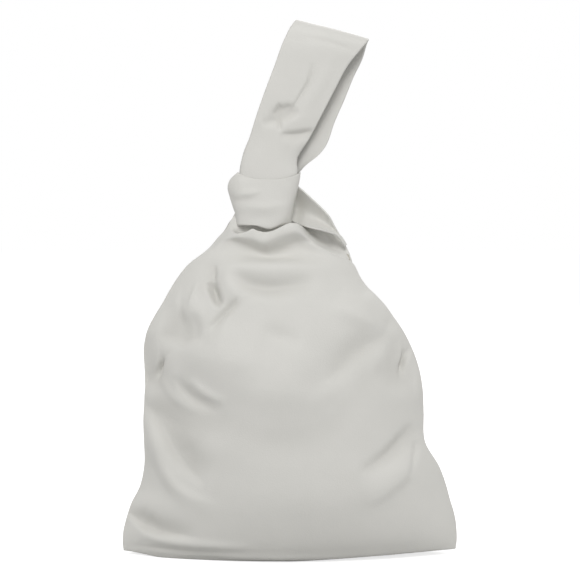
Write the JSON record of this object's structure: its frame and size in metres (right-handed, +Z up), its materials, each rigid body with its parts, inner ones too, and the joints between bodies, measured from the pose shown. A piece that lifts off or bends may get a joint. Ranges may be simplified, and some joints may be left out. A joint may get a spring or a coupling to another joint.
{
  "type": "knot bag",
  "caption": "Soft off-white leather knot bag: a lined pouch whose long handle is pulled through the short one, which closes round the gathered neck as a band.",
  "frame": {"origin": "on the floor, under the middle of the pouch's box", "axes": "+Z up, +X to the right as the front is seen, -Y towards the front"},
  "size_m": [0.3018, 0.1126, 0.4814],
  "materials": {
    "outer_leather": "matte off-white soft leather with a fine grain",
    "lining_cloth": "plain woven cotton, unbleached"
  },
  "bodies": {
    "bag": {"front_panel": "outer_leather", "back_panel": "outer_leather", "front_lining": "lining_cloth", "back_lining": "lining_cloth", "left_side_seam": "outer_leather", "right_side_seam": "outer_leather", "bottom_seam": "outer_leather", "front_neck_gather": "outer_leather", "back_neck_gather": "outer_leather", "short_handle_root": "outer_leather"},
    "band": {"short_handle_front": "outer_leather", "short_handle_back": "outer_leather"},
    "strap_root": {"long_handle_root_front": "outer_leather", "long_handle_root_back": "outer_leather"},
    "strap_loop": {"long_handle_front": "outer_leather", "long_handle_back": "outer_leather"}
  },
  "joints": [
    {"name": "band_slide", "type": "slide", "parent": "bag", "child": "band", "axis": [0, 0, 1], "range_m": [0, 0.01]},
    {"name": "strap_lean", "type": "hinge", "parent": "bag", "child": "strap_root", "pos_m": [-0.023, 0, 0.3465], "axis": [0, 1, 0], "range_deg": [-12, 9]},
    {"name": "strap_fall", "type": "hinge", "parent": "strap_root", "child": "strap_loop", "pos_m": [-0.02, 0, 0.3605], "axis": [0.9781, 0, -0.2079], "range_deg": [-75, 75]}
  ]
}
